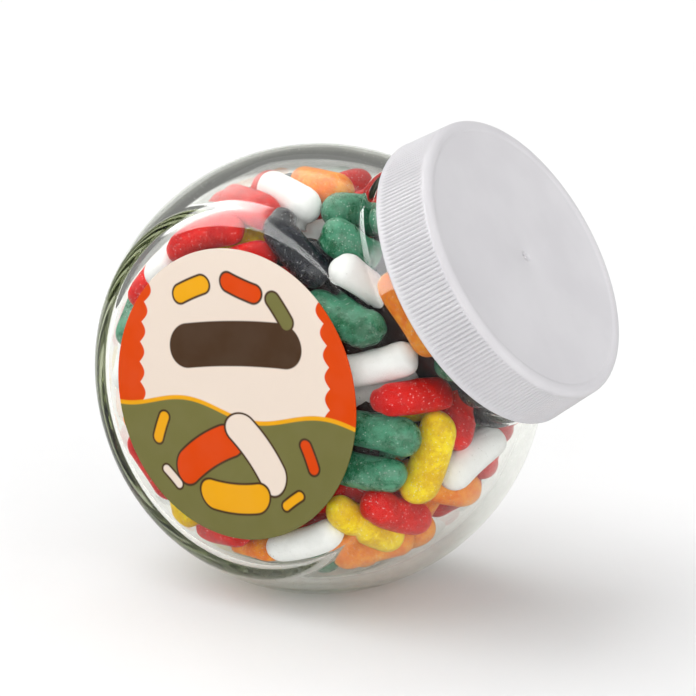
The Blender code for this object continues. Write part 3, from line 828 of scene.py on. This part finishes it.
# Each seen bean: colour, middle across and up in mm, turn in degrees, and how deep it lies in mm.
SEEN_BEANS = [
    ("red", 19.5, -6.2, -17, 0),
    ("green", 12.0, -13.2, 0, 0),
    ("green", 9.3, -20.7, -3, 0),
    ("yellow", 21.3, -19.1, 61, 1),
    ("white", 31.5, -18.1, 31, 0),
    ("red", 30.7, -10.6, 75, 3),
    ("red", 40.7, -13.5, -20, 1),
    ("red", 36.1, -22.4, 45, 2),
    ("red", 31.1, -30.3, 60, 3),
    ("orange", 26.7, -29.9, 54, 1),
    ("red", 15.3, -28.4, -11, 0),
    ("orange", 10.1, -37.0, 29, 0),
    ("orange", 18.0, -36.7, 25, 3),
    ("orange", 5.5, -42.2, 10, 2),
    ("white", -1.7, -35.1, 22, 0),
    ("green", -0.5, -41.1, 10, 2),
    ("red", 4.1, -26.7, 20, 2),
    ("orange", -13.1, -36.7, 0, 1),
    ("red", -19.8, -35.0, 0, 2),
    ("yellow", -32.2, -27.1, -47, 0),
    ("red", -38.1, -18.8, -65, 0),
    ("orange", -40.6, -10.1, 80, 1),
    ("white", -42.0, 2.7, 85, 0),
    ("green", -37.9, 11.8, 78, 0),
    ("red", -36.0, 19.1, 60, 3),
    ("red", -33.7, 21.6, 60, 1),
    ("white", -30.0, 24.7, 60, 0),
    ("red", -24.8, 25.5, 15, 0),
    ("yellow", -19.6, 25.7, 0, 2),
    ("red", -15.3, 26.7, 0, 1),
    ("red", -23.8, 32.5, 0, 1),
    ("red", -15.5, 32.9, 0, 0),
    ("white", -8.4, 33.6, -80, 1),
    ("orange", -1.1, 37.1, -8, 1),
    ("white", -1.1, 32.5, 10, 3),
    ("red", 8.4, 36.9, 0, 2),
    ("black", -4.1, 23.6, -45, 0),
    ("black", 1.8, 26.1, -45, 4),
    ("green", 7.4, 31.7, 10, 2),
    ("green", 7.8, 25.0, -35, 0),
    ("green", 5.7, 12.8, -57, 0),
    ("white", 7.3, 17.3, -50, 3),
    ("orange", 16.7, 10.0, -58, 0),
    ("white", 12.1, 1.7, 10, 1),
    ("white", 9.3, -6.1, 5, 3),
    ("black", 35.3, -11.8, 30, 4),
]
BEAN_NAMES = ("red", "green", "yellow", "orange", "white", "black")
COLOUR_SHARES = (0.27, 0.20, 0.14, 0.14, 0.17, 0.08)
RECOLOURED = {57: "black", 93: "black", 114: "red", 146: "red", 149: "yellow"}

# %% [markdown]
# ## Beans against glass
# To push beans about, two measures are needed: where two of them come closest, and how far each is
# from the glass. Real meshes would take minutes, so a bean counts as a rod with round ends here,
# and both measures are short formulas.

# %% How far the glass is from a bean
TINY = 1e-7


def closest_on_rods(a, b, c, d):
    """Where along the middle lines ab and cd, from 0 to 1, each pair of beans comes closest."""
    u, v, w = b - a, d - c, a - c
    uu, uv, vv, uw, vw = dot(u, u), dot(u, v), dot(v, v), dot(u, w), dot(v, w)
    s = np.clip((uv * vw - vv * uw) / np.maximum(uu * vv - uv * uv, 1e-14), 0.0, 1.0)
    t = np.clip((uv * s + vw) / vv, 0.0, 1.0)
    s = np.clip((uv * t - uw) / uu, 0.0, 1.0)
    return s, t


def along_neck(points):
    return points[:, 0] * CAP_AXIS.x + points[:, 2] * CAP_AXIS.z


def glass_face(points):
    """Distance of each point to the inner face of the glass and the way out to it."""
    along = along_neck(points)
    out = points - along[:, None] * np.array(CAP_AXIS)
    out_length = np.maximum(lengths(out), TINY)
    length = np.maximum(lengths(points), TINY)
    to_ball = BALL_R - WALL - length
    to_panel = PANEL_Y - WALL - np.abs(points[:, 1])
    panel_way = np.zeros_like(points)
    panel_way[:, 1] = np.where(points[:, 1] < 0.0, -1.0, 1.0)
    on_panel = to_panel < to_ball
    distance = np.where(on_panel, to_panel, to_ball)
    way = np.where(on_panel[:, None], panel_way, points / length[:, None])
    in_neck = along > NECK_BEANS_FROM
    distance = np.where(in_neck, BORE_R - out_length, distance)
    way = np.where(in_neck[:, None], out / out_length[:, None], way)
    return distance, way


def keep_inside(points, radius):
    """Bean ends moved back inside the glass, its floor, the cap and the level they reach."""
    distance, way = glass_face(points)
    over = np.maximum(radius + BEAN_CLEARANCE - distance, 0.0)
    points = points - way * over[:, None]
    panel = PANEL_Y - WALL - BEAN_CLEARANCE - radius
    ball = BALL_R - WALL - BEAN_CLEARANCE - radius
    along = along_neck(points)
    length = np.maximum(lengths(points), TINY)
    shrink = np.where(along > NECK_BEANS_FROM, 1.0, np.minimum(1.0, ball / length))
    points = points * shrink[:, None]
    points[:, 1] = np.clip(points[:, 1], -panel, panel)
    under_cap = CAP_TOP - CAP_TOP_THICKNESS - BEAN_CLEARANCE - radius
    points = points - np.maximum(along - under_cap, 0.0)[:, None] * np.array(CAP_AXIS)
    lowest = FLOOR_THICKNESS - CENTRE_Z + BEAN_CLEARANCE + radius
    points[:, 2] = np.clip(points[:, 2], lowest, BEAN_LEVEL)
    return points


# %% [markdown]
# ## Starting places
# A bean that the photograph shows is given by its place in the picture, and a ray from the camera
# finds where that is under the glass. The others are thrown at random, and a throw that lands too
# close to another is dropped. They could lie on a regular grid, but a poured heap has none. One
# seed makes the throws the same each time.

# %% Where each bean starts


def seen_place(across, up, turn_deg, sunk, radius):
    """Middle and direction of a bean that is seen at this place, lying against the glass."""
    azimuth = math.radians(SEEN_AZIMUTH_DEG)
    view = direction(azimuth, math.radians(SEEN_ELEVATION_DEG))
    right = Vector((math.cos(azimuth), math.sin(azimuth), 0.0))
    upward = view.cross(right)
    eye = view * SEEN_DISTANCE
    ray = (right * across + upward * up - eye).normalized()
    steps = np.arange(SEEN_DISTANCE - BALL_R - CAP_TOP_R, SEEN_DISTANCE, SEEN_STEP)
    line = np.array(eye) + np.array(ray) * steps[:, None]
    distance, ways = glass_face(line)
    inside = (distance >= radius + BEAN_CLEARANCE) & (np.abs(line[:, 2]) < BEAN_LEVEL)
    first = int(np.argmax(np.where(inside, 2.0, 0.0) + np.where(inside, 0.0, distance)))
    place, normal = Vector(line[first]), Vector(ways[first])
    turn = math.radians(turn_deg)
    flat_direction = right * math.cos(turn) + upward * math.sin(turn)
    facing = max(view.dot(normal), SEEN_FACING)
    lie = (flat_direction - view * (flat_direction.dot(normal) / facing)).normalized()
    return place - normal * sunk, lie


def wall_place(random, depth):
    """A random place this deep under the glass, and a direction along the glass there."""
    spot = Vector(random.uniform(-1.0, 1.0, 3))
    spot = Vector((spot.x * BALL_R, spot.y * PANEL_Y, spot.z * BALL_R))
    lie = Vector(random.uniform(-1.0, 1.0, 3))
    for _ in range(3):
        distance, way = glass_face(np.array([spot]))
        spot = spot + Vector(way[0]) * (distance[0] - depth)
    normal = Vector(way[0])
    return spot, (lie - normal * lie.dot(normal)).normalized()


def scattered(random, placed, spacing, sink, sink_spread, tries):
    """Places in the glass's front or second layer, none closer than the spacing to another."""
    found = []
    for _ in range(tries):
        depth = BEAN_R + BEAN_CLEARANCE + sink + sink_spread * random.uniform()
        middle, lie = wall_place(random, depth)
        others = placed + [place for place, _, _ in found]
        hidden = middle.dot(CAP_AXIS) > CAP_MOUTH + BEAN_R
        if not hidden and all((middle - other).length > spacing for other in others):
            found.append((middle, lie, depth))
    return found


def starting_beans():
    """Ends of each bean's middle line, radius, half length, depth that it seeks, hold and colour."""
    random = np.random.default_rng(SEED)
    names = list(BEAN_NAMES)
    beans = []
    for colour, across, up, turn_deg, sunk in SEEN_BEANS:
        middle, lie = seen_place(across / 1000, up / 1000, turn_deg, sunk / 1000, BEAN_R)
        beans.append((middle, lie, BEAN_R + BEAN_CLEARANCE + sunk / 1000, names.index(colour)))
    shares = np.cumsum(COLOUR_SHARES)
    placed = [bean[0] for bean in beans]
    front = scattered(random, placed, FRONT_SPACING, 0.0, FRONT_SINK, FRONT_TRIES)
    back = scattered(random, [], BACK_SPACING, BACK_SINK, FRONT_SINK, BACK_TRIES)
    for middle, lie, depth in front + back:
        colour = int(np.searchsorted(shares, random.uniform()))
        colour = names.index(RECOLOURED.get(len(beans), names[min(colour, len(names) - 1)]))
        beans.append((middle, lie, depth, colour))
    count = len(beans)
    radii = np.round(BEAN_R + BEAN_R_SPREAD * random.uniform(-1.0, 1.0, count), SETTLE_DIGITS)
    halves = np.round(BEAN_HALF + BEAN_HALF_SPREAD * random.uniform(-1.0, 1.0, count), SETTLE_DIGITS)
    middles = np.array([bean[0] for bean in beans])
    lies = np.array([bean[1] for bean in beans]) * halves[:, None]
    firsts = np.round(middles - lies, SETTLE_DIGITS)
    seconds = np.round(middles + lies, SETTLE_DIGITS)
    depths = np.round([bean[2] for bean in beans], SETTLE_DIGITS)
    seen = np.arange(count) < len(SEEN_BEANS)
    return firsts, seconds, radii, halves, depths, seen, [bean[3] for bean in beans]


# %% [markdown]
# ## Settling
# The beans start small and grow, so they slip past each other before they jam. At each step, every
# pair that overlaps moves apart by a share of the overlap, and then each bean goes back inside the
# glass. Those that the photograph shows are held near their places until late, so the others give
# way to them.

# %% Let them settle


def settled_beans():
    """The beans after they have grown to full size and pushed each other apart."""
    firsts, seconds, radii, halves, depths, seen, colours = starting_beans()
    held_first, held_second = firsts.copy(), seconds.copy()
    one, other = np.triu_indices(len(radii), 1)
    mobility = np.where(seen, SEEN_MOBILITY, 1.0)
    share_one = mobility[one] / (mobility[one] + mobility[other])
    hold = np.where(seen, SEEN_HOLD, 0.0)[:, None]
    pull = np.where(seen, 0.0, WALL_PULL)
    for step in range(SETTLE_STEPS):
        done = step / SETTLE_STEPS
        grown = START_SIZE + (1.0 - START_SIZE) * min(1.0, done / GROWN_BY)
        hand = min(1.0, (1.0 - done) / (1.0 - LET_GO_FROM))
        size = np.where(seen, 1.0, grown)
        s, t = closest_on_rods(firsts[one], seconds[one], firsts[other], seconds[other])
        near_one = firsts[one] + (seconds[one] - firsts[one]) * s[:, None]
        near_other = firsts[other] + (seconds[other] - firsts[other]) * t[:, None]
        apart = near_one - near_other
        distance = np.maximum(lengths(apart), TINY)
        wanted = radii[one] * size[one] + radii[other] * size[other]
        push = np.maximum(wanted - distance, 0.0) * SETTLE_SHARE
        touching = push > 0.0
        move = apart * (push / distance)[:, None]
        move_one = (move * share_one[:, None])[touching]
        move_other = (move * (share_one - 1.0)[:, None])[touching]
        s, t = s[touching, None], t[touching, None]
        firsts += (held_first - firsts) * (hold * hand)
        seconds += (held_second - seconds) * (hold * hand)
        for ends in (firsts, seconds):
            to_glass, way = glass_face(ends)
            ends += way * ((to_glass - depths) * pull * hand)[:, None]
        for which, shift, along in ((one, move_one, s), (other, move_other, t)):
            np.add.at(firsts, which[touching], shift * (1.0 - along))
            np.add.at(seconds, which[touching], shift * along)
        for along in BEAN_STATIONS:
            point = firsts + (seconds - firsts) * along
            back = keep_inside(point, radii) - point
            firsts, seconds = firsts + back * (1.0 - along), seconds + back * along
        middle, lie = (firsts + seconds) / 2, seconds - firsts
        lie = lie / lengths(lie)[:, None] * (halves * size)[:, None]
        firsts = np.round(middle - lie, SETTLE_DIGITS)
        seconds = np.round(middle + lie, SETTLE_DIGITS)
    return keep_inside(firsts, radii), keep_inside(seconds, radii), radii, colours


firsts, seconds, bean_radii, bean_colours = settled_beans()
print("beans:", len(bean_radii), {name: bean_colours.count(i) for i, name in enumerate(BEAN_NAMES)})

# %% [markdown]
# ## The shape of one bean
# A sugared bean starts as a soft rod of jelly that is tumbled while its shell dries, so it comes
# out a little bent, thicker at one end and dimpled. Each bean here is a grid of rings along its
# middle line. The line bends sideways, along the glass, so that the bean doesn't cut into the glass,
# and a few slow waves round and along the bean make its dimples. Sculpting one bean and copying it
# would be quicker, but then its copies would be seen side by side.

# %% Bean mesh
BEAN_RINGS = 23
BEAN_SIDES = 28
BEAN_BEND = 0.0015
BEAN_TAPER = 0.06
DIMPLE = 0.00014
DIMPLE_WAVES = ((1, 3.1, 1.0), (2, 2.2, 1.0), (3, 4.3, 0.6))
END_POWER = 2.05
SLIMNESS = 0.90
SHAPE_SEED = 7


def bean_points(first, second, radius, random):
    """Rings of one bean from end to end, and its two tips, about the jar's middle."""
    line = second - first
    half = np.sqrt((line**2).sum()) / 2
    axis = line / (2 * half)
    middle = (first + second) / 2
    outward = glass_face(middle[None])[1][0]
    aside = np.cross(axis, outward)
    aside /= max(np.sqrt((aside**2).sum()), 1e-6)
    over = np.cross(aside, axis)
    bend = BEAN_BEND * random.uniform(-1.0, 1.0)
    taper = BEAN_TAPER * random.uniform(-1.0, 1.0)
    waves = random.uniform(0.0, 2 * math.pi, 6)
    angles = np.linspace(0.0, 2 * math.pi, BEAN_SIDES, endpoint=False)
    reach = half + radius
    station = np.sin(np.linspace(-0.5, 0.5, BEAN_RINGS + 2) * math.pi)
    rings = []
    for s in station[1:-1]:
        along = s * reach
        past = max(abs(along) - half, 0.0) / radius
        width = SLIMNESS * radius * (1.0 - past**END_POWER) ** (1.0 / END_POWER) * (1.0 + taper * s)
        dimple = 0.0
        for k, (round_rate, along_rate, share) in enumerate(DIMPLE_WAVES):
            slow = math.sin(along_rate * s + waves[2 * k + 1])
            dimple = dimple + np.cos(round_rate * angles + waves[2 * k]) * slow * share
        dimple = dimple / sum(share for _, _, share in DIMPLE_WAVES)
        width = width - DIMPLE * (1.0 + dimple) * (1.0 - past)
        sideways = bend * (0.5 - s * s)
        centre = middle + axis * along + aside * sideways
        rings.append(
            centre + aside * (width * np.cos(angles))[:, None] + over * (width * np.sin(angles))[:, None]
        )
    tips = [middle + axis * (s * reach) + aside * (bend * (0.5 - s * s)) for s in station[[0, -1]]]
    return rings, tips


def beans_mesh(name, chosen):
    """All beans of one colour as one mesh."""
    points, faces = [], []
    step = np.arange(BEAN_SIDES)
    after = np.roll(step, -1)
    for i in chosen:
        random = np.random.default_rng(SHAPE_SEED + i)
        rings, tips = bean_points(firsts[i], seconds[i], bean_radii[i], random)
        start = len(points)
        points += np.concatenate(rings).tolist() + [tip.tolist() for tip in tips]
        low_tip, high_tip = start + BEAN_RINGS * BEAN_SIDES, start + BEAN_RINGS * BEAN_SIDES + 1
        for k in range(BEAN_RINGS - 1):
            low, high = start + k * BEAN_SIDES, start + (k + 1) * BEAN_SIDES
            faces += np.stack([low + step, low + after, high + after, high + step], axis=1).tolist()
        last = start + (BEAN_RINGS - 1) * BEAN_SIDES
        faces += np.stack([start + after, start + step, np.full(BEAN_SIDES, low_tip)], axis=1).tolist()
        faces += np.stack([last + step, last + after, np.full(BEAN_SIDES, high_tip)], axis=1).tolist()
    mesh = bpy.data.meshes.new(name)
    mesh.from_pydata(points, [], faces)
    mesh.shade_smooth()
    mesh.update()
    return mesh


# %% [markdown]
# ## Sugared shell
# The shell is coloured sugar, dusted with finer sugar that rubs off in the jar. So each colour is
# mottled, pale in the patches where dust still clings, and sprinkled with tiny white grains. The
# grains are made like the dust on the glass, and they stand up a little in the bump too. One
# finish could serve for all with a colour attribute, but the dark beans are polished and the pale
# ones are chalky. So each colour has its own deep and pale shade, roughness and shine.

# %% Bean finish
MOTTLE_SIZE = 0.0010
POWDER_SIZE = 0.0042
BEAN_GRAIN_CELL = 0.00050
BEAN_GRAIN_R = 0.21
BEAN_GRAIN_SHARE = 0.5
SKIN_SIZE = 0.00028
POWDER_EDGES = (0.38, 0.64)
BEAN_LOOKS = {
    "red": ((0.480, 0.001, 0.001), (0.720, 0.008, 0.004), 0.28, 0.12),
    "green": ((0.004, 0.100, 0.040), (0.060, 0.290, 0.175), 0.24, 0.65),
    "yellow": ((0.700, 0.410, 0.001), (0.950, 0.740, 0.010), 0.32, 0.18),
    "orange": ((0.800, 0.165, 0.003), (0.930, 0.360, 0.024), 0.34, 0.16),
    "white": ((0.840, 0.845, 0.860), (0.900, 0.905, 0.925), 0.36, 0.25),
    "black": ((0.003, 0.004, 0.009), (0.010, 0.012, 0.020), 0.20, 0.50),
}


def sugared(name, deep, pale, roughness, shine):
    finish = Finish(f"sugared_{name}")
    place = finish.place()
    mottle = finish.noise(place, MOTTLE_SIZE, 5.0, 0.70)
    patch = finish.noise(place, POWDER_SIZE, 2.0)
    skin = finish.noise(place, SKIN_SIZE, 2.0)
    grain = grains(finish, place, BEAN_GRAIN_CELL, BEAN_GRAIN_R, BEAN_GRAIN_SHARE)
    powder = finish.ramp(mottle * 0.5 + patch * 0.5, *POWDER_EDGES)
    colour = finish.mix(powder, deep, pale)
    colour = finish.mix(grain * (powder * 0.45 + 0.20), colour, SUGAR_WHITE)
    height = skin * 0.35 + grain * 0.8 + mottle * 1.2
    shell = {"IOR": 1.47, "Specular_IOR_Level": shine, "Normal": finish.bump(height, 0.00006, 0.7)}
    return finish.finished(finish.principled(colour, powder * 0.14 + roughness, **shell))


for number, name in enumerate(BEAN_NAMES):
    chosen = [i for i, colour in enumerate(bean_colours) if colour == number]
    mesh = beans_mesh(f"beans_{name}", chosen)
    middle = Matrix.Translation(CENTRE)
    new_piece(f"beans_{name}", mesh, middle, sugared(name, *BEAN_LOOKS[name]), "jelly_beans")

# %% [markdown]
# ## The dark middle of the heap
# Between the outer beans the eye meets only shade. Filling the whole jar with fine beans would
# cost time and show nothing, so the middle is a core like the imported heap's, deeper down, in
# painted shade: the dark mixed colour that beans have out of the light.

# %% Core
CORE_DEPTH = 0.0125
CORE_SIDES = 96
CORE_RINGS = 60
CORE_POLE_DEG = 2.0
CORE_TOP = 1.5
CORE_PATCH = 0.009
# Painted shade: near-black colours that stand for the shaded beans deep in the heap.
PAINTED_SHADE_WARM = (0.024, 0.006, 0.005)
PAINTED_SHADE_COLD = (0.008, 0.009, 0.012)


def core_rings():
    angles = np.linspace(0.0, 2 * math.pi, CORE_SIDES, endpoint=False)
    rings = []
    for theta in np.radians(np.linspace(CORE_POLE_DEG, 180.0 - CORE_POLE_DEG, CORE_RINGS)):
        far = inner_distance(theta, angles) - CORE_DEPTH
        if theta < CORE_TOP:
            far = np.minimum(far, (lip_top - CORE_DEPTH) / math.cos(theta))
        rings.append(turned(theta, angles) * far[:, None])
    return rings


# The finish of the painted shade: the two near-black colours mixed in soft patches.
def painted_deep_shade():
    finish = Finish("heap_painted_shade")
    patch = finish.noise(finish.place(), CORE_PATCH, 2.0)
    colour = finish.mix(finish.ramp(patch, *MOST_OF_NOISE), PAINTED_SHADE_WARM, PAINTED_SHADE_COLD)
    return finish.finished(finish.principled(colour, patch * 0.2 + 0.6, Specular_IOR_Level=0.1))


core_mesh = ring_mesh("beans_core", core_rings())
new_piece("beans_core", core_mesh, CAP_FRAME, painted_deep_shade(), "jelly_beans")

# %% [markdown]
# ## Floor
# Glass has no colour of its own, so it shows whatever stands round it. A pale floor makes it
# clear. It reaches far past the picture, because a glass ball shows the edge of a small one.

# %% Floor
FLOOR_R = 14.0
FLOOR_PALE = (0.85, 0.85, 0.85)
FLOOR_SHADE = (0.83, 0.83, 0.83)
FLOOR_GRAIN = 0.02


def pale_floor():
    finish = Finish("pale_floor")
    grain = finish.noise(finish.place(), FLOOR_GRAIN, 2.0)
    colour = finish.mix(grain, FLOOR_PALE, FLOOR_SHADE)
    return finish.finished(finish.principled(colour, 0.6, Specular_IOR_Level=0.1))


bpy.ops.mesh.primitive_circle_add(vertices=96, radius=FLOOR_R, fill_type="NGON")
floor = bpy.context.object
floor.name = "pale_floor"
floor.data.materials.append(pale_floor())

# %% [markdown]
# ## Light
# Darker walls draw the rims of a glass, which is how one is lit in a studio. Lamps close by would
# leave the far floor grey, so the soft lamps are drawn on the world, far away, each as a bright
# rectangle round its own direction. In the photograph the beans are lit softly, and yet the glass
# shows one crisp patch of the main lamp and is clear elsewhere. One set of lamps can't do both, so
# the last number of each softbox says how bright it is where a smooth surface mirrors it.
#
# Light that is caught in the wall of the jar bounces many times before it gets out. Paths cut
# short would leave black crescents at the rim, so they may be long.

# %% Studio walls and softboxes
WALL_LIGHT = 0.25
RIGHT_WALL_LIGHT = 0.65
RIGHT_WALL_DEG = 80.0
RIGHT_WALL_UP = 0.2
RIGHT_WALL_EDGES = (0.1, 0.6)
LIGHT_BOUNCES = 40
# Each softbox: azimuth, elevation, roll, width and height in degrees, strength, and in reflections.
SOFTBOXES = [
    ("key", -80.0, 56.0, 0.0, 78.0, 66.0, 1.7, 0.0),
    ("overhead", 0.0, 90.0, 0.0, 110.0, 110.0, 0.25, 0.1),
    ("key in reflections", -50.0, 33.0, 38.0, 31.0, 82.0, 0.0, 23.0),
    ("front fill", 46.0, 14.0, 0.0, 92.0, 36.0, 2.0, 0.2),
    ("low backdrop", 205.0, 0.0, 0.0, 50.0, 16.0, 0.7, 0.7),
]
SOFT_EDGE = 0.06
WALLS_MIRRORED = 0.4


class Studio(Finish):
    """The world's nodes, written like a finish."""

    def __init__(self):
        world = bpy.data.worlds.new("studio")
        world.use_nodes = True
        bpy.context.scene.world = world
        self.tree = world.node_tree
        self.background = self.tree.nodes["Background"]
        self.way = self.node("TexCoord")

    def toward(self, way):
        """The cosine of the angle between the ray's way and this one."""
        return self.node("VectorMath", {"operation": "DOT_PRODUCT"}, {0: self.way, 1: way}, output=1)

    def softbox(self, azimuth_deg, elevation_deg, roll_deg, wide_deg, high_deg):
        """1 inside a rectangle round this direction, and 0 outside."""
        azimuth, elevation, roll = (math.radians(angle) for angle in (azimuth_deg, elevation_deg, roll_deg))
        ahead = self.toward(direction(azimuth, elevation))
        level, upright = direction(azimuth + math.pi / 2, 0.0), direction(azimuth, elevation + math.pi / 2)
        across = self.toward(level * math.cos(roll) + upright * math.sin(roll)) / ahead
        above = self.toward(upright * math.cos(roll) - level * math.sin(roll)) / ahead
        inside = self.ramp(ahead, 0.0, 0.05)
        for offset, size_deg in ((across, wide_deg), (above, high_deg)):
            edge = math.tan(math.radians(size_deg / 2))
            off_middle = offset.maths("ABSOLUTE")
            inside = inside * self.ramp(off_middle, edge - SOFT_EDGE, edge + SOFT_EDGE, 1.0, 0.0)
        return inside


studio = Studio()
right_wall = studio.toward(direction(math.radians(RIGHT_WALL_DEG), RIGHT_WALL_UP))
glossy = studio.node("LightPath", output="Is Glossy Ray")
mirrored = glossy * studio.node("LightPath", output="Is Reflection Ray")
light = studio.ramp(right_wall, *RIGHT_WALL_EDGES, WALL_LIGHT, RIGHT_WALL_LIGHT)
light = light * (1.0 - mirrored * (1.0 - WALLS_MIRRORED))
for name, *box, strength, in_reflections in SOFTBOXES:
    light = light + studio.softbox(*box) * (mirrored * (in_reflections - strength) + strength)
    print("softbox:", name)
studio.tree.links.new(light.socket, studio.background.inputs["Strength"])
studio.background.inputs["Color"].default_value = (1.0, 1.0, 1.0, 1.0)
bpy.context.scene.view_settings.view_transform = "Standard"
for kind in ("max_bounces", "transmission_bounces", "glossy_bounces"):
    setattr(bpy.context.scene.cycles, kind, LIGHT_BOUNCES)
